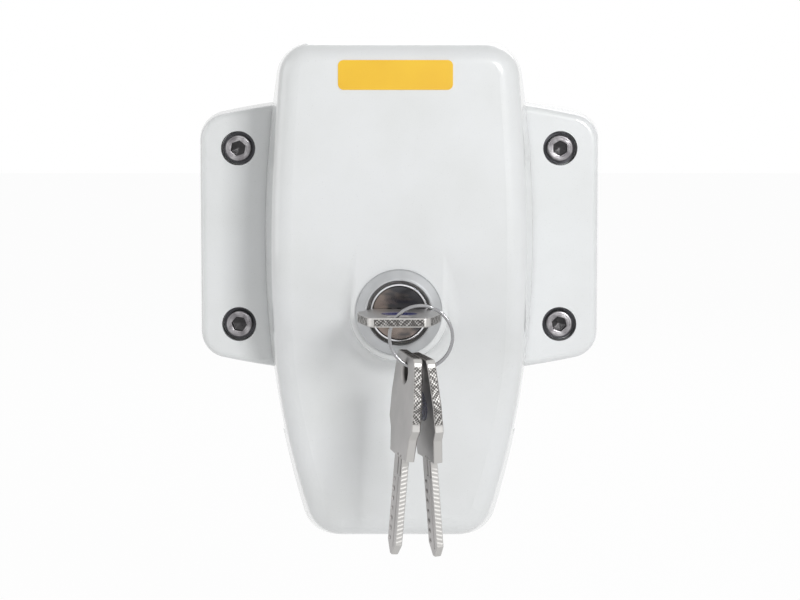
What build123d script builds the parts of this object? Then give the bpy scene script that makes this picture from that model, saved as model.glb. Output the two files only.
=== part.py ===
from math import asin, cos, radians, sin, sqrt
import os

from build123d import *

# Frame: origin on the pivot axis at the wall face, X right, Z up, the front towards -Y.
# A depth d is measured from the wall towards the front, so a point at depth d has y = -d.

# Base plate
plate_half = 75.2
plate_apex = 53.6
plate_crown = 313.0
plate_corner = 11.0
plate_back = 1.5
plate_front = 14.0
plate_draft = 6.0
plate_edge = 2.6
recess_r = 48.0
recess_floor = 8.0
hub_r = 19.4
hub_top = 12.5
nut_pocket_r = 13.0
nut_pocket_top = 9.5
screw_x = 60.0
screw_z = 32.9
seat_r = 6.4
seat_floor = 6.0
screw_hole_r = 4.4
thread_start = 2.0
waist_r = 2.7

# Pivot and locking ring
journal_r = 8.0
bush_r = 11.0
ring_r = 18.7
ring_top = 18.5
flange_r = 12.3
flange_top = 20.0
notch_half = 6.2
notch_in = 12.4
ring_screw_at = 15.4
ring_screw_r = 1.6

# Arm housing
arm_back = 2.0
arm_rim = 14.8
arm_front = 58.0
sweep_r = 86.2
wall = 3.2
front_wall = 3.6
slope_top = -1.4
slope_end = -64.8
slope_depth = 36.0
tip_depth = 32.5
edge_round = 7.5
boss_half = 17.4
boss_draft = 7.0
boss_round = 2.2
foot_round = 5.0

# Locking bolt, on two guide screws
bolt_half = 23.2
bolt_back = 13.0
bolt_front = 18.0
guide_x = 18.9
guide_z = -30.2

# Lock cylinder
lock_z = -24.2
body_r = 13.0
body_back = 24.5
body_front = 58.3
sleeve_end = 27.3
plug_r = 9.3
plug_face = 60.6
rosette_r = 10.5
lip_r = 11.15
bezel_r = 15.4
eccentric = 4.0
pin_r = 1.5
pin_slack = 0.25
spring_from = 11.15

# Keys and ring
key_top = 35.8
neck_length = 8.0
blade_length = 34.6
bow_thick = 3.1
blade_half = 5.2
blade_thick = 2.4
eye_r = 3.4
eye_rim = 0.95
eye_down = 6.4
loop_r = 10.8
loop_x = 7.5
loop_drop = 5.5
eye_hang = 2.0
key_yaw = 15.5
key_tilt = 3.0
inlay_s = 18.6


def at(depth, x=0.0, z=0.0):
    """Plane facing the front at a depth, its own axes along X and Z."""
    return Plane((x, -depth, z), x_dir=(1, 0, 0), z_dir=(0, -1, 0))


def disc(radius, start, end, x=0.0, z=0.0):
    return extrude(at(start, x, z) * Circle(radius), end - start)


def tube(outer, inner, start, end, x=0.0, z=0.0):
    return extrude(at(start, x, z) * (Circle(outer) - Circle(inner)), end - start)


def slab(width, height, start, end, x=0.0, z=0.0):
    return extrude(at(start, x, z) * Rectangle(width, height), end - start)


def turned(points, x=0.0, z=0.0):
    """Solid of revolution about a depth axis from (radius, depth) corners."""
    outline = Polyline([(r, -d) for r, d in points], close=True)
    return Pos(x, 0, z) * revolve(make_face(outline), Axis.Y)


def corners(x, z):
    return [(sx * x, sz * z) for sx in (-1, 1) for sz in (-1, 1)]


# Base plate: crowned top and bottom edges, drafted sides, hollow and ribbed behind

def plate_outline(inset=0.0):
    half = plate_half - inset
    apex = plate_apex - inset
    side = apex - half**2 / (2 * plate_crown)
    top = ThreePointArc((half, side), (0, apex), (-half, side))
    left = Line((-half, side), (-half, -side))
    bottom = ThreePointArc((-half, -side), (0, -apex), (half, -side))
    right = Line((half, -side), (half, side))
    face = make_face([top, left, bottom, right])
    return fillet(face.vertices(), plate_corner - inset)


def base_plate():
    plate = extrude(at(plate_back) * plate_outline(), plate_front - plate_back, taper=plate_draft)
    front = plate.faces().sort_by(Axis.Y)[0]
    plate = fillet(front.edges(), plate_edge)
    plate -= disc(recess_r, recess_floor, plate_front + 1)
    plate += disc(hub_r, plate_back, hub_top)
    hollow = extrude(at(plate_back) * plate_outline(4.0), 9.0)
    ribs = slab(2 * plate_half, 3.0, plate_back, hub_top)
    ribs += slab(3.0, 2 * plate_apex, plate_back, hub_top)
    outer = hollow - disc(recess_r + 3.5, 0, plate_front)
    for x, z in corners(screw_x, screw_z):
        outer -= disc(seat_r + 2.6, 0, plate_front, x, z)
    plate -= outer - ribs
    plate -= disc(nut_pocket_r, plate_back, nut_pocket_top)
    plate -= disc(bush_r, 0, plate_front)
    for x, z in corners(screw_x, screw_z):
        plate -= disc(screw_hole_r, 0, plate_front + 1, x, z)
        plate -= disc(seat_r, seat_floor, plate_front + 1, x, z)
    for x, z in ring_screw_places():
        plate -= disc(ring_screw_r + 0.02, 5.0, hub_top, x, z)
    return plate


def wall_gasket():
    sheet = plate_outline(0.8) - plate_outline(5.5)
    pads = [Pos(x, z) * Rectangle(20, 20) for x, z in corners(screw_x, screw_z)]
    sheet += [pad & plate_outline(0.8) for pad in pads]
    sheet -= [Pos(x, z) * Circle(screw_hole_r) for x, z in corners(screw_x, screw_z)]
    return extrude(at(0) * sheet, plate_back)


def frame_screw(x, z):
    under = seat_floor + 1.6
    head = turned([(0, under), (5, under), (5, under + 5.4), (4.4, under + 6), (0, under + 6)], x, z)
    head -= extrude(at(under + 3.0, x, z) * RegularPolygon(2.5 / cos(radians(30)), 6), 3.5)
    waist = disc(waist_r, thread_start, under, x, z)
    thread = turned([(0, thread_start), (3, thread_start), (3, under - 39.4), (0, under - 40)], x, z)
    return head + waist + thread


def frame_screws():
    return Compound([frame_screw(x, z) for x, z in corners(screw_x, screw_z)])


def frame_washers():
    top = seat_floor + 1.6
    return Compound([tube(6.0, 3.2, seat_floor, top, x, z) for x, z in corners(screw_x, screw_z)])


# Pivot: hardened ring with three notches, flanged bush, journal held from behind

def ring_screw_places():
    return [(ring_screw_at * cos(radians(a)), ring_screw_at * sin(radians(a))) for a in (90, 225, 315)]


def locking_ring():
    ring = tube(ring_r, bush_r + 0.02, hub_top, ring_top)
    for angle in (-90, 0, 90):
        notch = slab(2 * notch_half, 10, hub_top, ring_top, 0, -notch_in - 5)
        ring -= Rotation(0, angle, 0) * notch
    rim = ring.edges().filter_by(GeomType.CIRCLE).filter_by(lambda e: abs(e.radius - ring_r) < 0.01)
    ring = chamfer(rim, 0.6)
    for x, z in ring_screw_places():
        ring -= disc(ring_screw_r + 0.1, hub_top, ring_top, x, z)
        ring -= turned([(0, 16.8), (ring_screw_r + 0.1, 16.8), (3.1, ring_top), (0, ring_top)], x, z)
    return ring


def ring_screw(x, z):
    screw = turned([(0, 5.4), (ring_screw_r, 5.4), (ring_screw_r, 16.8), (2.9, 18.3), (0, 18.3)], x, z)
    return screw - extrude(at(16.9, x, z) * RegularPolygon(1.0 / cos(radians(30)), 6), 2.0)


def ring_screws():
    return Compound([ring_screw(x, z) for x, z in ring_screw_places()])


def pivot_bush():
    bore = journal_r + 0.05
    return turned([(bore, nut_pocket_top), (bush_r, nut_pocket_top), (bush_r, ring_top),
                   (flange_r, ring_top), (flange_r, flange_top), (bore, flange_top)])


def pivot_journal():
    return turned([(0, 2.2), (4.4, 2.2), (5, 2.8), (5, 9.0), (journal_r, 9.0), (journal_r, 20.1),
                   (6, 20.1), (6, 37.0), (5.2, 38.0), (0, 38.0)])


def disc_spring():
    return turned([(8.4, 9.05), (8.4, 9.25), (12.0, 9.48), (12.0, 9.28)])


def pivot_washer():
    return tube(12.3, 5.05, 7.4, 9.0)


def pivot_nut():
    nut = extrude(at(2.6) * (RegularPolygon(8.5 / cos(radians(30)), 6) - Circle(5.0)), 4.8)
    cone = turned([(0, 2.6), (8.9, 2.6), (9.9, 3.3), (9.9, 7.4), (0, 7.4)])
    return nut & cone


# Arm housing: lofted barrel outline, front falling in two arcs to a low tip, lock boss

def arm_outline(top, high, middle, low, tip, bottom, round_top, round_low):
    """Half-widths at the top edge, the pivot, 50 mm below it, and the tip."""
    right = Spline((high, top), (middle, 0), (low, -50), (tip, bottom))
    base = Line((tip, bottom), (-tip, bottom))
    left = Spline((-tip, bottom), (-low, -50), (-middle, 0), (-high, top))
    crest = Line((-high, top), (high, top))
    face = make_face([right, base, left, crest])
    upper = face.vertices().sort_by(Axis.Y)[-2:]
    face = fillet(upper, round_top)
    lower = face.vertices().sort_by(Axis.Y)[:2]
    return fillet(lower, round_low)


def front_profile(drop=0.0):
    """Side view of the front: a flat, a convex and a concave arc, a low straight tip."""
    high = arm_front - drop
    low = slope_depth - drop
    half = (slope_top - slope_end) / 2
    turn = 2 * asin((high - low) / sqrt((2 * half)**2 + (high - low)**2))
    middle = (-(high + low) / 2, slope_top - half)
    radius = half / sin(turn)
    rise = radius * (1 - cos(turn / 2))
    run = radius * sin(turn / 2)
    flat = Line((-high, 90), (-high, slope_top))
    convex = ThreePointArc((-high, slope_top), (-high + rise, slope_top - run), middle)
    concave = ThreePointArc(middle, (-low - rise, slope_end + run), (-low, slope_end))
    end = Line((-low, slope_end), (-tip_depth + drop, -130))
    close = Polyline((-tip_depth + drop, -130), (10, -130), (10, 90), (-high, 90))
    face = make_face([flat, convex, concave, end] + close.edges())
    return extrude(Plane.YZ * face, 70, both=True)


def arm_block(inset=0.0, drop=0.0):
    back = arm_outline(72.1 - inset, 44.4 - inset, 51.4 - inset, 48.2 - inset, 33.4 - inset,
                       -114.8 + inset, 13, 13)
    front = arm_outline(71.1 - inset, 41.5 - inset, 45.0 - inset, 41.9 - inset, 27.0 - inset,
                        -104.5 + inset, 12, 12)
    block = loft([at(arm_back) * back, at(arm_front) * front])
    return block & front_profile(drop)


def lock_boss():
    """Tongue round the cylinder that keeps the height of the front."""
    tongue = Pos(0, lock_z + 16) * Rectangle(2 * boss_half, 32) + Pos(0, lock_z) * Circle(boss_half)
    return extrude(at(arm_front) * tongue, -28, taper=-boss_draft)


def arm_ribs(core):
    ribs = slab(3, 70, 40, 56, 0, 38)
    ribs += slab(100, 3, 40, 56)
    ribs += slab(3, 76, 25, 40, 0, -82)
    ribs += slab(90, 3, 29, 40, 0, -62)
    return ribs & core


def arm_posts(core):
    posts = disc(11.8, flange_top + 0.1, arm_front)
    posts += disc(17.0, sleeve_end, arm_front, 0, lock_z)
    for side in (-1, 1):
        posts += disc(4.0, bolt_front + 0.2, arm_front, side * guide_x, guide_z)
    return posts & core


def arm_housing():
    block = arm_block()
    front = [f for f in block.faces() if f.geom_type != GeomType.BSPLINE and f.normal_at().Y < -0.2]
    loop = [e for e in block.edges() if sum(e.is_same(g) for f in front for g in f.edges()) == 1]
    core = fillet(loop, edge_round) + lock_boss()
    crest = [e for e in core.edges() if e.center().Y < 0.1 - arm_front and -47 < e.center().Z < -5
             and abs(e.center().X) < boss_half + 1]
    core = fillet(crest, boss_round)
    foot = [e for e in core.edges() if -56.9 < e.center().Y < -30 and abs(e.center().X) < 24
            and -52 < e.center().Z < -2 and e.geom_type != GeomType.LINE]
    core = fillet(foot, foot_round)
    housing = core - arm_block(wall, front_wall)
    housing -= disc(sweep_r, 0, arm_rim)
    housing += arm_posts(core)
    housing += arm_ribs(core)
    housing -= disc(body_r + 0.05, sleeve_end, arm_front + 1, 0, lock_z)
    housing -= disc(body_r + 2.3, flange_top, sleeve_end, 0, lock_z)
    housing -= disc(6.0, flange_top, 38.4)
    for side in (-1, 1):
        housing -= disc(1.97, bolt_front, 32.2, side * guide_x, guide_z)
    return housing


def label():
    face = fillet(Rectangle(40.6, 10.5).vertices(), 2.0)
    return extrude(at(arm_front, -1.3, 59.9) * face, 0.25)


# Bolt work: slotted bolt on two shoulder screws, driven by the pin of the cam

def locking_bolt():
    plate = slab(2 * bolt_half, 15.1, bolt_back, bolt_front, 0, guide_z - 2.35)
    plate = fillet(plate.edges().filter_by(Axis.Y), 6.0)
    tongue = slab(12.0, 9.0, bolt_back, bolt_front, 0, guide_z + 6.4)
    tip = tongue.edges().filter_by(Axis.Y).group_by(Axis.Z)[-1]
    bolt = plate + chamfer(tip, 0.8)
    rest = radians(45)
    reach = eccentric * (1 - cos(rest)) + 2 * pin_r + 0.6
    slot_x = -eccentric * (1 + cos(rest)) / 2
    bolt -= slab(reach, 2 * (pin_r + pin_slack), 12, 19, slot_x, lock_z - eccentric * sin(rest))
    travel = 2 * eccentric * sin(rest)
    for side in (-1, 1):
        slot = SlotCenterToCenter(travel + 0.2, 4.2, rotation=90)
        bolt -= extrude(at(12, side * guide_x, guide_z - travel / 2) * slot, 7)
    return bolt


def guide_screw(x):
    screw = turned([(0, 10.2), (3.1, 10.2), (3.6, 10.7), (3.6, 12.8), (1.95, 12.8), (1.95, 31.0),
                    (0, 31.5)], x, guide_z)
    return screw - slab(7.4, 0.9, 10.0, 11.3, x, guide_z)


def guide_screws():
    return Compound([guide_screw(side * guide_x) for side in (-1, 1)])


def cam():
    wheel = disc(10.2, 21.0, 24.4, 0, lock_z)
    wheel = chamfer(wheel.edges().filter_by(GeomType.CIRCLE), 0.4)
    x = -eccentric * cos(radians(45))
    z = lock_z - eccentric * sin(radians(45))
    wheel += turned([(0, 14.3), (1.1, 14.3), (pin_r, 14.7), (pin_r, 22), (0, 22)], x, z)
    return wheel - turned([(0, 20), (2.25, 20), (2.25, 21), (1.25, 22.15), (1.25, 25), (0, 25)], 0, lock_z)


def cam_screw():
    screw = turned([(0, 21.0), (2.2, 21.0), (1.25, 22.1), (1.25, 25.8), (0, 25.8)], 0, lock_z)
    return screw - extrude(at(20.5, 0, lock_z) * RegularPolygon(0.85, 6), 1.4)


# Lock cylinder: body, bezel, clip, plug with dished face, five pin stacks

def pin_depths():
    return [53.0 - 4.4 * i for i in range(5)]


def across(radius, start, end, depth):
    """Round bar along X between two distances from the lock axis."""
    bar = Cylinder(radius, end - start, rotation=(0, 90, 0))
    return Pos((start + end) / 2, -depth, lock_z) * bar


def cylinder_body():
    bore = plug_r + 0.03
    body = turned([(bore, body_back), (12.6, body_back), (body_r, 24.9), (body_r, 26.0), (12.2, 26.0),
                   (12.2, sleeve_end), (body_r, sleeve_end), (body_r, arm_front), (lip_r - 0.05, arm_front),
                   (lip_r - 0.05, body_front), (bore, body_front)], 0, lock_z)
    for depth in pin_depths():
        body -= across(1.25, 8, 14, depth)
    return body


def cylinder_bezel():
    return turned([(lip_r, 58.0), (15.0, 58.0), (bezel_r, 58.3), (bezel_r, 59.4), (15.0, 60.0),
                   (12.6, 61.4), (12.2, 61.6), (11.6, 61.6), (lip_r, 61.1)], 0, lock_z)


def cylinder_clip():
    ring = tube(14.8, 12.22, 26.1, 27.2, 0, lock_z)
    return ring - slab(14, 12, 26, 28, 0, lock_z + 14)


def plug():
    body = turned([(0, 24.4), (plug_r - 0.3, 24.4), (plug_r, 24.7), (plug_r, 58.5), (rosette_r, 58.5),
                   (rosette_r, 60.2), (10.2, plug_face), (9.7, plug_face), (9.3, 60.2), (0, 60.0)],
                  0, lock_z)
    body -= slab(2 * blade_half + 0.6, blade_thick + 0.6, 25.9, 62, 0, lock_z)
    for depth in pin_depths():
        body -= across(1.25, blade_half, plug_r + 1, depth)
    return body - disc(1.25, 24, 26, 0, lock_z)


def key_pin(depth):
    start = blade_half + 0.35
    point = Pos(start + 0.4, -depth, lock_z) * Cone(1.15, 0.5, 0.8, rotation=(0, -90, 0))
    return point + across(1.15, start + 0.8, plug_r - 0.2, depth)


def key_pins():
    return Compound([key_pin(depth) for depth in pin_depths()])


def driver_pins():
    return Compound([across(1.15, plug_r + 0.06, spring_from - 0.25, depth) for depth in pin_depths()])


def pin_spring(depth):
    coil = Helix(1.0, 1.6, 0.85)
    wire = sweep(Plane(coil @ 0, z_dir=coil % 0) * RegularPolygon(0.18, 4), coil, is_frenet=True)
    return Pos(spring_from, -depth, lock_z) * Rotation(0, 90, 0) * wire


def pin_springs():
    return Compound([pin_spring(depth) for depth in pin_depths()])


# Keys: bow with eye, neck and pointed blade; s runs from the blade to the bow

def key_blank():
    right = [(10.3, 0), (12.0, neck_length), (14.7, 11.4), (14.4, 20), (12.0, 30), (10.6, 34.4),
             (9.2, key_top)]
    points = right + [(-x, s) for x, s in reversed(right)]
    bow = extrude(make_face(Polyline(points, close=True)), bow_thick / 2, both=True)
    rims = [f for f in bow.faces() if abs(f.normal_at().Z) > 0.9]
    bow = chamfer([e for f in rims for e in f.edges() if e.center().Y > 0.1], 0.35)
    bow -= Pos(0, key_top - eye_down) * Cylinder(eye_r, 8)
    bow = chamfer(bow.edges().filter_by(GeomType.CIRCLE), eye_rim)
    bow -= Pos(0, inlay_s, -bow_thick / 2) * extrude(Ellipse(6.2, 5.2), 0.3, both=True)
    shape = [(1.2, -blade_length), (blade_half, -blade_length + 4), (blade_half, 1), (-blade_half, 1),
             (-blade_half, -blade_length + 4), (-1.2, -blade_length)]
    blade = extrude(make_face(Polyline(shape, close=True)), blade_thick / 2, both=True)
    key = bow + blade
    for side in (-1, 1):
        for x in (-3.0, 1.4):
            key -= Pos(side * x, -0.6, side * bow_thick / 2) * Box(0.9, 7.4, 1.3)
    return key


def key_inlay():
    return Pos(0, inlay_s, 0.05 - bow_thick / 2) * extrude(Ellipse(6.2, 5.2), 0.25)


def in_lock():
    return Plane((0, -plug_face - 0.1, lock_z), x_dir=(1, 0, 0), z_dir=(0, 0, -1))


def loop_centre():
    depth = plug_face + 0.1 + key_top - eye_down
    return loop_x, depth, lock_z - loop_drop


def key_ring():
    x, depth, z = loop_centre()
    inner = loop_r - 0.6
    outer = loop_r + 0.6
    return turned([(inner, depth - 0.9), (outer, depth - 0.9), (outer, depth - 0.1), (outer - 0.25, depth),
                   (outer, depth + 0.1), (outer, depth + 0.9), (inner, depth + 0.9),
                   (inner, depth + 0.1), (inner + 0.25, depth), (inner, depth - 0.1)], x, z)


def hanging(along, lean, turn):
    """Place of a key on the loop, turned about its length: its eye over the wire, its blade down."""
    x, depth, z = loop_centre()
    wire = Pos(x + along, -depth, z - sqrt(loop_r**2 - along**2))
    hung = wire * Rotation(0, lean, 0) * Rotation(0, 0, key_yaw) * Rotation(key_tilt, 0, 0)
    return hung * Rotation(0, 0, turn) * Rotation(90, 0, 0) * Pos(0, eye_down - key_top - eye_hang, 0)


def left_place():
    return hanging(-4.0, 3.8, -90)


def right_place():
    return hanging(0.8, -5.0, 90)


nodes = {
    "base_plate": base_plate,
    "wall_gasket": wall_gasket,
    "frame_screws": frame_screws,
    "frame_washers": frame_washers,
    "locking_ring": locking_ring,
    "ring_screws": ring_screws,
    "pivot_bush": pivot_bush,
    "pivot_journal": pivot_journal,
    "disc_spring": disc_spring,
    "pivot_washer": pivot_washer,
    "pivot_nut": pivot_nut,
    "arm_housing": arm_housing,
    "label": label,
    "locking_bolt": locking_bolt,
    "guide_screws": guide_screws,
    "cylinder_body": cylinder_body,
    "cylinder_bezel": cylinder_bezel,
    "cylinder_clip": cylinder_clip,
    "driver_pins": driver_pins,
    "pin_springs": pin_springs,
    "plug": plug,
    "cam": cam,
    "cam_screw": cam_screw,
    "key_pins": key_pins,
    "lock_key": lambda: in_lock() * key_blank(),
    "lock_key_inlays": lambda: in_lock() * key_inlay(),
    "key_ring": key_ring,
    "left_key": lambda: left_place() * key_blank(),
    "left_key_inlays": lambda: left_place() * key_inlay(),
    "right_key": lambda: right_place() * key_blank(),
    "right_key_inlays": lambda: right_place() * key_inlay(),
}

os.makedirs("parts", exist_ok=True)
for name, make in nodes.items():
    export_step(make(), f"parts/{name}.step")
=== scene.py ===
from math import cos, pi, radians, sin, sqrt

import bmesh
import bpy
import numpy as np
from mathutils import Matrix, Vector


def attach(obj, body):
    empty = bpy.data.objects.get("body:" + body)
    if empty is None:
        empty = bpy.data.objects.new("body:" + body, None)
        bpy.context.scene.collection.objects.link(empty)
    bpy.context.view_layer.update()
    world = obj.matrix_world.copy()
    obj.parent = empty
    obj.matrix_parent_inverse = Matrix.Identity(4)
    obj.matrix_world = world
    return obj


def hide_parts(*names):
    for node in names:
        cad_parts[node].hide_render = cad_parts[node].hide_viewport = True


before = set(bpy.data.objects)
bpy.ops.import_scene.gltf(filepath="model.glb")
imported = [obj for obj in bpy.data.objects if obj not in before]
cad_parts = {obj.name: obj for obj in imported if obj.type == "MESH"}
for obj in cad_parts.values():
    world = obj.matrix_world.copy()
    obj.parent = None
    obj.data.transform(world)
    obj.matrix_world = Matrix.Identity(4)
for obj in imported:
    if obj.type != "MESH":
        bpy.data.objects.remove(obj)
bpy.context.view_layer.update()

mm = 0.001


# Shader maths: a socket that adds, subtracts and multiplies like a number

class Signal:
    def __init__(self, shader, socket):
        self.shader = shader
        self.socket = socket

    def __add__(self, other):
        return self.shader.maths("ADD", self, other)

    def __radd__(self, other):
        return self.shader.maths("ADD", other, self)

    def __sub__(self, other):
        return self.shader.maths("SUBTRACT", self, other)

    def __rsub__(self, other):
        return self.shader.maths("SUBTRACT", other, self)

    def __mul__(self, other):
        return self.shader.maths("MULTIPLY", self, other)

    def __rmul__(self, other):
        return self.shader.maths("MULTIPLY", other, self)


class Shader:
    def __init__(self, name, kind="materials"):
        self.material = getattr(bpy.data, kind).new(name)
        self.material.use_nodes = True
        self.tree = self.material.node_tree
        self.tree.nodes.clear()

    def node(self, kind, settings=None, inputs=None):
        made = self.tree.nodes.new(kind)
        for name, value in (settings or {}).items():
            setattr(made, name, value)
        for name, value in (inputs or {}).items():
            if isinstance(value, Signal):
                self.tree.links.new(value.socket, made.inputs[name])
            else:
                made.inputs[name].default_value = value
        return made

    def signal(self, kind, settings=None, inputs=None, output=0):
        return Signal(self, self.node(kind, settings, inputs).outputs[output])

    def maths(self, operation, first, second=0.0):
        return self.signal("ShaderNodeMath", {"operation": operation}, {0: first, 1: second})

    def limit(self, value, low, high):
        # straight ramp from 0 at low to 1 at high, flat beyond
        return self.signal("ShaderNodeMapRange", {"clamp": True},
                           {"Value": value, "From Min": low, "From Max": high})

    def coords(self):
        return self.signal("ShaderNodeTexCoord", output="Object")

    def stretched(self, place, scale):
        return self.signal("ShaderNodeMapping", {}, {"Vector": place, "Scale": scale})

    def axes(self, place):
        parts = self.node("ShaderNodeSeparateXYZ", {}, {"Vector": place})
        return [Signal(self, parts.outputs[axis]) for axis in range(3)]

    def folded(self, place):
        # the quarter of the object right of and above the middle stands for all four
        return self.signal("ShaderNodeVectorMath", {"operation": "ABSOLUTE"}, {0: place})

    def radius(self, place, x, z):
        # distance from a line along Y through x, z
        across, _, height = self.axes(place)
        side = across - x
        rise = height - z
        return self.maths("SQRT", side * side + rise * rise)

    def noise(self, place, scale, detail=2.0, rough=0.5):
        return self.signal("ShaderNodeTexNoise", {"noise_dimensions": "3D"},
                           {"Vector": place, "Scale": scale, "Detail": detail, "Roughness": rough})

    def blend(self, amount, first, second):
        return self.signal("ShaderNodeMix", {"data_type": "RGBA"},
                           {0: amount, 6: first, 7: second}, output=2)

    def bump(self, height, depth, strength=1.0, under=None):
        inputs = {"Height": height, "Distance": depth, "Strength": strength}
        if under is not None:
            inputs["Normal"] = under
        return self.signal("ShaderNodeBump", {}, inputs)

    def seen(self, rays):
        # 1 for rays of the named kinds, 0 for all others
        path = self.node("ShaderNodeLightPath")
        level = Signal(self, path.outputs[rays[0]])
        for ray in rays[1:]:
            level = self.maths("MAXIMUM", level, Signal(self, path.outputs[ray]))
        return level

    def surface(self, **sockets):
        inputs = {name.replace("_", " "): value for name, value in sockets.items()}
        shell = self.signal("ShaderNodeBsdfPrincipled", {}, inputs)
        self.node("ShaderNodeOutputMaterial", {}, {"Surface": shell})
        return self.material


def shade(colour, factor):
    # the colour times the factor, opaque
    return tuple(channel * factor for channel in colour[:3]) + (1,)


def dress(names, material):
    for name in names:
        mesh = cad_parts[name].data
        mesh.materials.clear()
        mesh.materials.append(material)


# Paint: gloss powder coat over the castings, fine orange peel, a little dust in the colour

paint = {"colour": (0.790, 0.805, 0.812, 1), "shade": (0.735, 0.750, 0.745, 1),
         "dust": (0.55, 0.55, 0.54, 1), "dustAmount": 0.35, "dustScale": 2600.0, "cloudScale": 34.0,
         "rough": 0.30, "roughSpread": 0.12, "coat": 0.75, "coatRough": 0.05,
         "peel": 750.0, "peelDepth": 0.000012, "waves": 160.0, "waveDepth": 0.00006}


def whitePaint():
    shader = Shader("white paint")
    place = shader.coords()
    peel = shader.noise(place, paint["peel"], 1.0)
    waves = shader.noise(place, paint["waves"], 1.0)
    clouds = shader.noise(place, paint["cloudScale"], 4.0)
    specks = shader.limit(shader.noise(place, paint["dustScale"], 1.0), 0.70, 0.76)
    tint = shader.blend(shader.limit(clouds, 0.40, 0.80), paint["colour"], paint["shade"])
    colour = shader.blend(specks * paint["dustAmount"], tint, paint["dust"])
    normal = shader.bump(waves, paint["waveDepth"], 0.35)
    return shader.surface(Base_Color=colour, Roughness=paint["rough"] + paint["roughSpread"] * clouds,
                          Coat_Weight=paint["coat"], Coat_Roughness=paint["coatRough"], Coat_IOR=1.5,
                          Normal=shader.bump(peel, paint["peelDepth"], 0.6, normal))


# Metals: broad colour clouds, fine grain, and for turned pieces rings about the depth axis

def metal(name, colour, rough, grain=900.0, spread=0.10, depth=0.00001, dark=0.80):
    shader = Shader(name)
    place = shader.coords()
    fine = shader.noise(place, grain, 3.0)
    broad = shader.noise(place, 110.0, 2.0)
    tint = shader.blend(shader.limit(broad, 0.35, 0.75), colour, shade(colour, dark))
    return shader.surface(Base_Color=tint, Metallic=1.0, Roughness=rough + spread * fine - 0.5 * spread,
                          Normal=shader.bump(fine, depth, 0.6))


def turnedMetal(name, colour, rough, x, z, pitch=0.00012, depth=0.000006):
    shader = Shader(name)
    place = shader.coords()
    away = shader.radius(place, x, z)
    wobble = shader.noise(place, 300.0, 2.0)
    rings = shader.maths("SINE", away * (2 * pi / pitch) + 3.0 * wobble)
    broad = shader.noise(place, 140.0, 2.0)
    tint = shader.blend(shader.limit(broad, 0.35, 0.75), colour, shade(colour, 0.85))
    return shader.surface(Base_Color=tint, Metallic=1.0, Roughness=rough + 0.06 * wobble,
                          Normal=shader.bump(rings, depth, 0.5))


def plain(name, colour, rough, grain=1500.0, depth=0.00002):
    # rubber and enamel: fine grain in colour, gloss and height
    shader = Shader(name)
    place = shader.coords()
    fine = shader.noise(place, grain, 3.0)
    tint = shader.blend(fine, colour, shade(colour, 0.8))
    return shader.surface(Base_Color=tint, Roughness=rough + 0.1 * fine, Specular_IOR_Level=0.3,
                          Normal=shader.bump(fine, depth, 0.5))


# Lock face: z is the height of its axis, rim the radius where the dished face ends; inside it
# the chrome carries a painted reflection in dark and brownish colours

lock = {"z": -24.2 * mm, "rim": 9.55 * mm, "rimSoft": 0.0001, "reflectedBrown": (0.27, 0.225, 0.20, 1),
        "dark": (0.075, 0.075, 0.08, 1), "bright": (0.80, 0.80, 0.82, 1)}


def plugFace():
    # bright rim, and inside it the dished face with a painted reflection in dark and brownish clouds
    shader = Shader("plug chrome")
    place = shader.coords()
    away = shader.radius(place, 0.0, lock["z"])
    flow = shader.noise(shader.stretched(place, (0.5, 1.0, 1.0)), 190.0, 2.0, 0.6)
    # painted reflection of dark surroundings: dark and brownish clouds in the dished face
    paintedReflection = shader.blend(shader.limit(flow, 0.42, 0.62), lock["dark"], lock["reflectedBrown"])
    rim = shader.limit(away, lock["rim"], lock["rim"] + lock["rimSoft"])
    colour = shader.blend(rim, paintedReflection, lock["bright"])
    return shader.surface(Base_Color=colour, Metallic=1.0, Roughness=0.10 + 0.10 * flow)


label = {"colour": (0.90, 0.55, 0.010, 1), "shade": (0.86, 0.50, 0.008, 1), "rough": 0.34,
         "coat": 0.35, "coatRough": 0.15, "swell": 0.00012}


def foil():
    # orange film, a little darker in broad clouds that also swell its surface
    shader = Shader("label foil")
    place = shader.coords()
    fine = shader.noise(place, 420.0, 3.0)
    broad = shader.noise(place, 60.0, 2.0)
    tint = shader.blend(shader.limit(broad, 0.35, 0.70), label["colour"], label["shade"])
    return shader.surface(Base_Color=tint, Roughness=label["rough"] + 0.10 * fine,
                          Coat_Weight=label["coat"], Coat_Roughness=label["coatRough"],
                          Normal=shader.bump(broad, label["swell"], 0.25))


dress(["base_plate", "arm_housing"], whitePaint())
dress(["wall_gasket"], plain("gasket rubber", (0.02, 0.02, 0.022, 1), 0.7))
# the washers are coloured near black: painted shade and dark reflection down in the counterbores
dress(["frame_washers"], metal("washer steel in painted shade", (0.11, 0.11, 0.12, 1), 0.38))
dress(["locking_ring", "locking_bolt", "cam"], metal("hardened steel", (0.33, 0.32, 0.31, 1), 0.35))
dress(["ring_screws", "pivot_nut", "guide_screws", "cam_screw"],
      metal("screw steel", (0.55, 0.54, 0.53, 1), 0.3))
dress(["pivot_journal", "pivot_washer"],
      turnedMetal("turned steel", (0.56, 0.55, 0.54, 1), 0.28, 0.0, 0.0))
dress(["disc_spring", "cylinder_clip", "pin_springs"], metal("spring steel", (0.22, 0.23, 0.27, 1), 0.3))
dress(["pivot_bush"], turnedMetal("bronze", (0.60, 0.38, 0.18, 1), 0.32, 0.0, 0.0))
dress(["key_pins", "driver_pins"], metal("pin brass", (0.72, 0.55, 0.27, 1), 0.3))
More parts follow.
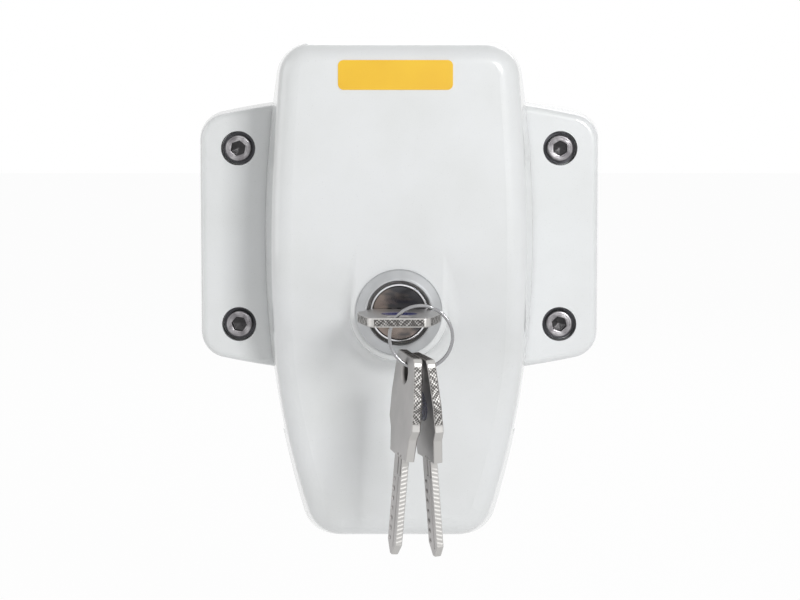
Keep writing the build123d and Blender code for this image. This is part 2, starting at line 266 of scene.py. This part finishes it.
# the body is coloured far darker than plated brass: painted shade in the groove between bezel and plug
dress(["cylinder_body"], turnedMetal("plated brass in painted shade", (0.16, 0.155, 0.15, 1), 0.30, 0.0, lock["z"]))
dress(["cylinder_bezel"],
      turnedMetal("satin chrome", (0.48, 0.49, 0.50, 1), 0.30, 0.0, lock["z"], 0.00016, 0.000004))
dress(["plug"], plugFace())
dress(["lock_key_inlays", "left_key_inlays", "right_key_inlays"],
      plain("blue enamel", (0.012, 0.016, 0.16, 1), 0.22, 300.0, 0.00001))
dress(["label"], foil())
print("materials done")


# Pieces from grids of points; those closer than this, in metres, are merged

mergeWithin = 0.000002


def gridFaces(rows, cols):
    # quads between neighbouring rows, the last column joined to the first
    row, col = np.meshgrid(np.arange(rows - 1), np.arange(cols), indexing="ij")
    after = (col + 1) % cols
    quads = [row * cols + col, row * cols + after, (row + 1) * cols + after, (row + 1) * cols + col]
    return np.stack(quads, -1).reshape(-1, 4)


def gridMesh(name, grids):
    # one mesh of several closed grids; rows that shrink to a point or fold flat are merged
    points = np.concatenate([grid.reshape(-1, 3) for grid in grids])
    starts = np.cumsum([0] + [grid.shape[0] * grid.shape[1] for grid in grids[:-1]])
    faces = np.concatenate([gridFaces(*grid.shape[:2]) + start for grid, start in zip(grids, starts)])
    mesh = bpy.data.meshes.new(name)
    mesh.from_pydata((points * mm).tolist(), [], faces.tolist())
    shell = bmesh.new()
    shell.from_mesh(mesh)
    bmesh.ops.remove_doubles(shell, verts=shell.verts, dist=mergeWithin)
    bmesh.ops.recalc_face_normals(shell, faces=shell.faces)
    shell.to_mesh(mesh)
    shell.free()
    return mesh


def addPiece(name, mesh, body, replaced, material, angle=30):
    # edges sharper than the angle stay sharp
    mesh.materials.clear()
    mesh.materials.append(material)
    mesh.shade_smooth()
    mesh.set_sharp_from_angle(angle=radians(angle))
    piece = bpy.data.objects.new(name, mesh)
    bpy.context.collection.objects.link(piece)
    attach(piece, body)
    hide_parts(replaced)
    return piece


# Frame screws: cap screws with hexagon sockets and rolled threads

# in the screws' colours, dark is painted shade from under the head up into the socket
screw = {"x": 60.0, "z": 32.9, "top": 13.6, "under": 7.62, "head": 5.0, "teeth": 40, "tooth": 0.16,
         "socket": 2.5, "shank": 2.98, "waist": 2.68, "plainTo": 2.0, "end": -32.4, "tip": 2.35,
         "pitch": 1.0, "threadDepth": 0.58, "turn": (8, 41, 17, 29), "ringRate": 21000.0,
         "bright": (0.42, 0.41, 0.42, 1), "shade": (0.20, 0.19, 0.20, 1), "dark": (0.07, 0.068, 0.07, 1),
         "socketShadeFade": (0.0119, 0.0134), "shankShadeFade": (-0.0085, -0.0072)}


def screwHead(turn):
    # rows of radius, depth, share of the hexagon and share of the knurling, from the bottom of the socket
    # over the top and down the side; a hexagon's radius is its apothem over the cosine of the angle to
    # its flat, and the knurling takes a cosine of the angle off the radius
    around = np.linspace(0, 2 * pi, 160, endpoint=False)
    hexagon = 1 / np.cos((around + turn) % (pi / 3) - pi / 6)
    teeth = 0.5 + 0.5 * np.cos(screw["teeth"] * around)
    top, under, head, socket = (screw[part] for part in ("top", "under", "head", "socket"))
    rows = [(0.0, top - 4.1, 0, 0), (0.6, top - 3.95, 0, 0), (2.30, top - 3.2, 1, 0),
            (socket, top - 3.1, 1, 0), (socket, top - 0.25, 1, 0), (2.62, top - 0.06, 0.8, 0),
            (2.95, top, 0, 0), (3.15, top, 0, 0), (3.22, top - 0.10, 0, 0), (3.95, top - 0.10, 0, 0),
            (4.02, top, 0, 0), (4.30, top, 0, 0), (4.55, top - 0.08, 0, 0), (4.80, top - 0.28, 0, 0),
            (4.92, top - 0.55, 0, 0), (4.98, top - 0.80, 0, 0.3), (head, top - 1.0, 0, 1),
            (head, 8.5, 0, 1), (4.95, 8.2, 0, 0), (4.95, 7.75, 0, 0), (4.85, under, 0, 0),
            (3.0, under, 0, 0), (0.0, under, 0, 0)]
    radius, depth, six, rough = (np.array(column)[:, None] for column in zip(*rows))
    away = radius * (1 + six * (hexagon - 1)) - screw["tooth"] * rough * teeth
    return np.stack([away * np.cos(around), np.broadcast_to(-depth, away.shape), away * np.sin(around)], -1)


def screwShank():
    # the radius falls by the thread depth where the distance along the helix is between two turns;
    # in front of plainTo the shank has its waist, and its first rows lie inside the head
    around = np.linspace(0, 2 * pi, 40, endpoint=False)
    end = screw["end"]
    depth = np.concatenate([[8.0, 8.0], np.linspace(7.9, end + 0.6, 300), [end, end]])[:, None]
    phase = (depth / screw["pitch"] + around / (2 * pi)) % 1
    groove = np.clip(1.25 * np.abs(2 * phase - 1) - 0.15, 0, 1)
    cut = np.clip((screw["plainTo"] - depth) / 1.0, 0, 1) * screw["threadDepth"]
    away = np.where(depth > screw["plainTo"], screw["waist"], screw["shank"] - cut * (1 - groove))
    away[0] = 0
    away[-1] = 0
    away[-2] = screw["tip"]
    return np.stack([away * np.cos(around), np.broadcast_to(-depth, away.shape), away * np.sin(around)], -1)


def capSteel():
    # bright on the face of the head and on the shank, with painted shade darkening the socket and the
    # head's sides down in the counterbore
    shader = Shader("cap screw steel")
    place = shader.coords()
    fine = shader.noise(place, 1400.0, 3.0)
    broad = shader.noise(place, 320.0, 2.0)
    away = shader.radius(shader.folded(place), screw["x"] * mm, screw["z"] * mm)
    rings = shader.maths("SINE", away * screw["ringRate"])
    behind = shader.axes(place)[1]
    face = shader.blend(shader.limit(broad, 0.35, 0.65), screw["bright"], screw["shade"])
    # painted shade: 0 between the depths where shank and socket fade, 1 on the head's face and the shank
    outOfSocketShade = shader.limit(behind * -1.0, *screw["socketShadeFade"]) + shader.limit(behind, *screw["shankShadeFade"])
    colour = shader.blend(outOfSocketShade, screw["dark"], face)
    return shader.surface(Base_Color=colour, Metallic=1.0, Roughness=0.22 + 0.16 * fine,
                          Normal=shader.bump(rings, 0.000012, 0.6))


def frameScrews():
    places = [(side * screw["x"], level * screw["z"]) for side in (-1, 1) for level in (-1, 1)]
    grids = []
    for (x, z), turn in zip(places, screw["turn"]):
        grids += [grid + np.array([x, 0, z]) for grid in (screwHead(radians(turn)), screwShank())]
    mesh = gridMesh("frameScrews", grids)
    addPiece("frameScrews", mesh, "base", "frame_screws", capSteel())


frameScrews()
print("screws done")


# Split ring: two turns of flat wire that change planes between their free ends

ring = {"x": 7.5, "z": -29.7, "depth": 90.1, "radius": 10.8, "wide": 1.16, "thick": 0.84, "lay": 0.44,
        "start": 62, "gap": 13, "jog": 22, "rounding": 3.0, "colour": (0.36, 0.36, 0.37, 1)}


def keyRing():
    # the angle runs over nearly two turns; the depth steps from one plane to the other half way,
    # and the wire's section is a rounded rectangle, a circle raised to a power, drawn in at the free ends
    along = np.linspace(ring["gap"], 720 - ring["gap"], 560)[:, None]
    step = np.clip((along - 360) / ring["jog"] + 0.5, 0, 1)
    depth = ring["depth"] + ring["lay"] * (2 * step * step * (3 - 2 * step) - 1)
    around = np.linspace(0, 2 * pi, 24, endpoint=False)
    square = np.sign(np.cos(around)) * np.abs(np.cos(around)) ** 0.55
    level = np.sign(np.sin(around)) * np.abs(np.sin(around)) ** 0.75
    ends = np.clip(np.minimum(along - along[0], along[-1] - along) / ring["rounding"], 0, 1) ** 0.5
    away = ring["radius"] + 0.5 * ring["wide"] * square * ends
    angle = np.radians(along + ring["start"])
    x = ring["x"] + away * np.cos(angle)
    z = ring["z"] + away * np.sin(angle)
    y = -(depth + 0.5 * ring["thick"] * level * ends)
    steel = metal("ring steel", ring["colour"], 0.20, 700.0, 0.10, 0.000006, 0.85)
    mesh = gridMesh("keyRing", [np.stack([x, y, z], -1)])
    addPiece("keyRing", mesh, "loop", "key_ring", steel)


keyRing()
print("ring done")


# Keys: u across, s along from the shoulder to the bow's end, t through. In the dictionary a name with
# Long holds places along s, with Wide half widths and with Half half thicknesses. Each of the rows is a
# stretch of s and its count of rows: two for the blade, three for the bow. Left and right hold a hanging
# key's place along the ring, its lean and its turn in degrees

key = {"bladeLong": [-34.6, -30.6, 0.0], "bladeWide": [1.2, 5.2, 5.2], "bladeHalf": 1.2, "bladeBevel": 0.2,
       "bowLong": [0.0, 8.0, 11.4, 20.0, 30.0, 34.4, 35.8],
       "bowWide": [10.3, 12.0, 14.7, 14.4, 12.0, 10.6, 9.2], "bowHalf": 1.55, "bowBevel": 0.32,
       "rows": ((-34.6, -30.6, 16), (-30.4, 0, 130), (0, 11.4, 44), (11.6, 34.4, 100), (34.6, 35.5, 5)),
       "eye": 3.4, "eyeLand": 0.6, "eyeFlare": 2.0, "eyeAt": 29.4,
       "knurl": (14.0, 33.0), "endKnurl": 8.5, "knurlDepth": 0.13, "endFrom": 35.35, "inset": 0.14,
       "cuts": (-29.5, -3.0), "cutDepth": 0.10,
       "groove": (1.3, 2.2), "grooveLong": (-31.5, -7.4), "grooveDepth": 0.42,
       "pits": 7, "pitStep": 3.5, "pitFrom": 8.6, "pitSide": 2.8, "pitSize": 0.80, "pitDepth": 0.5,
       "slots": (0.0, 3.4), "slotWide": 0.7, "slotLong": (-6.0, 0.8), "slotDepth": 0.62,
       "inlayAt": 18.6, "inlayWide": 6.2, "inlayTall": 5.2, "recess": 0.30,
       # bright paints a highlight on the edges; soil paints shade and dirt into the recesses
       "satin": (0.41, 0.395, 0.39, 1), "shade": (0.35, 0.34, 0.335, 1), "bright": (0.53, 0.52, 0.505, 1),
       "shadeAndSoil": (0.095, 0.09, 0.087, 1),
       "shoulder": 60.7, "hang": 31.4, "yaw": 15.5, "tipBack": 3.0,
       "left": (-4.0, 3.8, -90), "right": (0.8, -5.0, 90)}


def knurlPattern(a, b):
    # crossed waves with a slow drift in phase, so that no two cells are alike; 0 to 1
    first = np.sin(6.2 * a + 5.1 * b + 1.7 * np.sin(1.3 * a))
    second = np.sin(5.4 * a - 6.0 * b + 1.9 * np.sin(0.9 * a + 2.0))
    third = np.sin(2.3 * a + 3.1 * b * np.sin(0.7 * a))
    return np.clip(0.5 + 0.26 * first + 0.26 * second + 0.22 * third, 0, 1)


def window(value, low, high, soft):
    # 1 between low and high, with straight flanks of the width soft outside
    return np.clip(np.minimum(value - low, high - value) / soft + 1, 0, 1)


def keyWidth(s):
    # half width from straight lines between the outline's corners
    blade = np.interp(s, key["bladeLong"], key["bladeWide"])
    return np.where(s < 0, blade, np.interp(s, key["bowLong"], key["bowWide"]))


def keyRelief(near, s, inlaid):
    # depth of the milled forms below a face: pits, a long groove, two short slots, the inlay's recess;
    # near is u as seen from that face, so that both faces carry the same forms
    depth = key["grooveDepth"] * window(near, *key["groove"], 0.12) * window(s, *key["grooveLong"], 0.3)
    for i in range(key["pits"]):
        size = key["pitSize"] + 0.12 * (i * 2 % 3)
        away = np.hypot((near + key["pitSide"]) / 1.5, s + key["pitFrom"] + key["pitStep"] * i) / size
        depth = np.maximum(depth, key["pitDepth"] * np.clip(1 - away**2, 0, 1) ** 0.6)
    for centre in key["slots"]:
        slot = window(near, centre - key["slotWide"], centre + key["slotWide"], 0.12)
        depth = np.maximum(depth, key["slotDepth"] * slot * window(s, *key["slotLong"], 0.3))
    oval = np.hypot(near / key["inlayWide"], (s - key["inlayAt"]) / key["inlayTall"])
    return np.maximum(depth, key["recess"] * inlaid * np.clip((1.045 - oval) / 0.045, 0, 1))


def keyShell():
    # the section is a bevelled rectangle; its half width follows the outline, with knurling and cuts on
    # its sides and relief on its faces, and rows run from tip to end
    flat = np.linspace(-1, 1, 82)
    side = np.linspace(1, -1, 18)
    flatZero, flatOne = np.zeros(flat.size), np.ones(flat.size)
    sideZero, sideOne = np.zeros(side.size), np.ones(side.size)
    across = np.concatenate([flat, sideZero, -flat, sideZero])
    through = np.concatenate([flatZero, side, flatZero, -side])
    edge = np.concatenate([flatZero, sideOne, flatZero, -sideOne])
    face = np.concatenate([flatOne, sideZero, -flatOne, sideZero])
    s = np.concatenate([np.linspace(*stretch) for stretch in key["rows"]])[:, None]
    bow = np.arange(s.size)[:, None] >= key["rows"][0][2] + key["rows"][1][2]
    half = np.where(bow, key["bowHalf"], key["bladeHalf"])
    bladeWide = np.interp(s, key["bladeLong"], key["bladeWide"])
    wide = np.where(bow, np.interp(s, key["bowLong"], key["bowWide"]), bladeWide)
    bevel = np.where(bow, key["bowBevel"], key["bladeBevel"])
    t = through * (half - bevel)
    grip = key["knurlDepth"] * knurlPattern(s, t) * window(s, *key["knurl"], 0.6) * (np.abs(through) < 0.98)
    cuts = key["cutDepth"] * (0.5 + 0.5 * np.sin(4.3 * s + 1.5 * t)) * window(s, *key["cuts"], 0.8)
    u = edge * (wide + grip - key["inset"] - cuts) + across * (wide - bevel - 0.1)
    t = t + face * (half - keyRelief(u * face, s, face < 0) * (face != 0))
    rows = np.stack([u, np.broadcast_to(s, u.shape), t], -1)
    return np.concatenate([keyCap(rows[0], 0.0, 5), rows, keyCap(rows[-1], key["knurlDepth"], 14)[::-1]])


def keyCap(loop, rough, count):
    # the end's loop drawn in to its middle line, first over the bevel, with knurling where it is rough
    share = np.concatenate([[0.0], np.linspace(0.04, 0.80, count - 1)])[:, None]
    u, s, t = loop[:, 0], loop[:, 1], loop[:, 2]
    height = np.abs(t).max()
    inwards = u - np.sign(u) * np.minimum(np.abs(u), height) * (1 - share)
    level = t * share
    out = np.sign(s.mean()) * (0.3 if rough else 0.2)
    within = window(np.abs(inwards), -1, key["endKnurl"], 0.4) * (share < 0.78)
    lift = rough * knurlPattern(inwards, level) * within
    return np.stack([inwards, s + out - rough * 1.05 + lift, level], -1)


def keyMesh():
    # the shell less the eye, a circle of constant radius in the middle that flares by 45 degrees
    # towards both faces
    around = np.linspace(0, 2 * pi, 72, endpoint=False)
    eye, land = key["eye"], key["eyeLand"]
    wide, out = eye + key["eyeFlare"], land + key["eyeFlare"]
    profile = [(0, -out), (wide, -out), (eye, -land), (eye, land), (wide, out), (0, out)]
    radius, t = (np.array(column)[:, None] for column in zip(*profile))
    across = radius * np.cos(around)
    hole = np.stack([across, key["eyeAt"] + radius * np.sin(around), np.broadcast_to(t, across.shape)], -1)
    blank = bpy.data.objects.new("blank", gridMesh("blank", [keyShell()]))
    drill = bpy.data.objects.new("drill", gridMesh("drill", [hole]))
    for each in (blank, drill):
        bpy.context.collection.objects.link(each)
    cut = blank.modifiers.new("eye", "BOOLEAN")
    cut.object = drill
    cut.solver = "EXACT"
    shape = blank.evaluated_get(bpy.context.evaluated_depsgraph_get())
    mesh = bpy.data.meshes.new_from_object(shape)
    for each in (blank, drill):
        bpy.data.objects.remove(each)
    return mesh


def markKey(mesh):
    # stores each point's place on the key; how far it lies on an edge, painted brighter as a highlight; and
    # its painted shade and dirt: 1 at the bottom of the knurling, of a milled form and in the eye
    points = np.empty(len(mesh.vertices) * 3, dtype=np.float32)
    mesh.vertices.foreach_get("co", points)
    u, s, t = points.reshape(-1, 3).T / mm
    # edge: 1 on the bevels and the end, which the material paints brighter as a highlight
    end = np.clip((s - key["endFrom"]) / 0.1, 0, 1)
    edge = np.maximum(np.clip((np.abs(u) - keyWidth(s) + 0.45) / 0.2, 0, 1), end)
    edge = np.maximum(edge, np.abs(s) < 0.02)
    sides = window(s, *key["knurl"], 0.3) * (np.abs(u) > keyWidth(s) - 0.2)
    cap = end * window(np.abs(u), -1, key["endKnurl"], 0.2) * (np.abs(t) < 1.2)
    grip = np.maximum(knurlPattern(s, t) * sides, knurlPattern(u, t) * cap)
    knurled = np.maximum(sides, cap)
    # painted shade and dirt inside the eye
    eyeShade = 0.95 * (np.hypot(u, s - key["eyeAt"]) < key["eye"] + 0.2)
    near = u * np.sign(t)
    flat = (np.abs(u) < keyWidth(s) - 0.1) * (np.abs(t) > 0.3)
    deep = flat * keyRelief(near, s, 0.0) / key["slotDepth"]
    # painted shade and dirt at the bottom of the knurling and of the milled forms
    shadeAndDirt = np.maximum(np.maximum(knurled * (1.22 + 0.17 * end - grip), deep), eyeShade)
    for name, values in (("keyEdgeHighlight", edge * (1 - deep)), ("keyShadeAndDirt", shadeAndDirt)):
        store = mesh.attributes.new(name, "FLOAT", "POINT")
        store.data.foreach_set("value", values.astype(np.float32))
    store = mesh.attributes.new("keyPlace", "FLOAT_VECTOR", "POINT")
    store.data.foreach_set("vector", points)


def keyNickel():
    # satin faces, edges painted brighter as a highlight, and the painted shade and dirt that markKey found
    shader = Shader("key nickel")
    place = shader.signal("ShaderNodeAttribute", {"attribute_name": "keyPlace"}, output=1)
    edge = shader.signal("ShaderNodeAttribute", {"attribute_name": "keyEdgeHighlight"}, output=2)
    shadeAndDirt = shader.signal("ShaderNodeAttribute", {"attribute_name": "keyShadeAndDirt"}, output=2)
    brushed = shader.noise(shader.stretched(place, (1.0, 0.12, 1.0)), 2600.0, 2.0)
    broad = shader.noise(place, 90.0, 2.0)
    satin = shader.blend(shader.limit(broad, 0.35, 0.70), key["satin"], key["shade"])
    # edges painted brighter as a highlight, then recesses darkened as painted shade and dirt
    bright = shader.blend(edge, satin, key["bright"])
    colour = shader.blend(shader.limit(shadeAndDirt, 0.20, 0.90), bright, key["shadeAndSoil"])
    rough = 0.30 + 0.10 * brushed + 0.06 * edge + 0.20 * shadeAndDirt
    return shader.surface(Base_Color=colour, Metallic=1.0, Roughness=rough,
                          Normal=shader.bump(brushed, 0.000008, 0.5))


def hungAt(along, lean, turn):
    # the same place as the solid's: eye over the wire, turned, leaning, and tipped back a little
    drop = sqrt(ring["radius"]**2 - along**2)
    wire = Matrix.Translation(Vector((ring["x"] + along, -ring["depth"], ring["z"] - drop)) * mm)
    turned = Matrix.Rotation(radians(lean), 4, "Y") @ Matrix.Rotation(radians(key["yaw"]), 4, "Z")
    turned = turned @ Matrix.Rotation(radians(key["tipBack"]), 4, "X")
    turned = turned @ Matrix.Rotation(radians(turn), 4, "Z") @ Matrix.Rotation(radians(90), 4, "X")
    return wire @ turned @ Matrix.Translation((0, -key["hang"] * mm, 0))


def makeKeys():
    mesh = keyMesh()
    markKey(mesh)
    nickel = keyNickel()
    inLock = Matrix(((1, 0, 0, 0), (0, -1, 0, -key["shoulder"] * mm), (0, 0, -1, lock["z"]), (0, 0, 0, 1)))
    for name, body, node, place in (("lockKey", "key", "lock_key", inLock),
                                    ("leftKey", "left_key", "left_key", hungAt(*key["left"])),
                                    ("rightKey", "right_key", "right_key", hungAt(*key["right"]))):
        own = mesh.copy()
        own.transform(place)
        addPiece(name, own, body, node, nickel, 40)


makeKeys()
print("keys done")


# Studio: each lamp has its name, place, width, height and power, and shines on the origin

studio = {"floor": -0.20, "reach": 6.0, "sky": 0.41, "paper": (0.92, 0.92, 0.92, 1), "glow": 0.96,
          "lamps": (("right", (0.44, -1.2, 0.36), 0.30, 0.30, 7.7),
                    ("left", (-1.45, 0.0, 0.30), 0.8, 1.2, 3),
                    ("rear", (0.3, 1.1, 0.9), 1.0, 1.0, 6))}

camera = {"distance": 0.886, "target": (0.0003, -0.014, -0.02384), "elevation": 5.2, "lens": 106.45}


def makeCamera():
    eye = bpy.data.objects.new("camera", bpy.data.cameras.new("camera"))
    bpy.context.collection.objects.link(eye)
    rise = radians(camera["elevation"])
    x, y, z = camera["target"]
    eye.location = (x, y - camera["distance"] * cos(rise), z + camera["distance"] * sin(rise))
    eye.rotation_euler = (pi / 2 - rise, 0, 0)
    eye.data.lens = camera["lens"]
    eye.data.sensor_width = 36
    eye.data.clip_start = 0.01
    bpy.context.scene.camera = eye


def softLamp(name, place, width, height, power):
    lamp = bpy.data.lights.new(name, "AREA")
    lamp.shape = "RECTANGLE"
    lamp.size = width
    lamp.size_y = height
    lamp.energy = power
    holder = bpy.data.objects.new(name, lamp)
    holder.location = place
    holder.rotation_euler = (Vector() - Vector(place)).to_track_quat("-Z", "Y").to_euler()
    bpy.context.collection.objects.link(holder)


def makeSky():
    # white where the camera or a gloss looks, and the lighting level everywhere else
    shader = Shader("studio", "worlds")
    seen = shader.seen(["Is Camera Ray", "Is Glossy Ray", "Is Transmission Ray"])
    level = shader.signal("ShaderNodeMapRange", {},
                          {"Value": seen, "To Min": studio["sky"], "To Max": 1.0})
    back = shader.signal("ShaderNodeBackground", {}, {"Color": (1, 1, 1, 1), "Strength": level})
    shader.node("ShaderNodeOutputWorld", {}, {"Surface": back})
    bpy.context.scene.world = shader.material


def makeFloor():
    # paper that takes the object's shadow, nearly white by itself where the camera or a gloss looks
    corners = [(-1, -1), (1, -1), (1, 1), (-1, 1)]
    points = [(x * studio["reach"], y * studio["reach"], studio["floor"]) for x, y in corners]
    mesh = bpy.data.meshes.new("floor")
    mesh.from_pydata(points, [], [(0, 1, 2, 3)])
    floor = bpy.data.objects.new("floor", mesh)
    bpy.context.collection.objects.link(floor)
    shader = Shader("floor paper")
    seen = shader.seen(["Is Camera Ray", "Is Glossy Ray"])
    paper = shader.signal("ShaderNodeBsdfDiffuse", {}, {"Color": studio["paper"]})
    glow = shader.signal("ShaderNodeEmission", {}, {"Strength": 1.0})
    both = shader.signal("ShaderNodeMixShader", {}, {0: seen * studio["glow"], 1: paper, 2: glow})
    shader.node("ShaderNodeOutputMaterial", {}, {"Surface": both})
    mesh.materials.append(shader.material)


makeCamera()
for lamp in studio["lamps"]:
    softLamp(*lamp)
makeSky()
makeFloor()
bpy.context.scene.view_settings.view_transform = "Standard"
print("studio done")
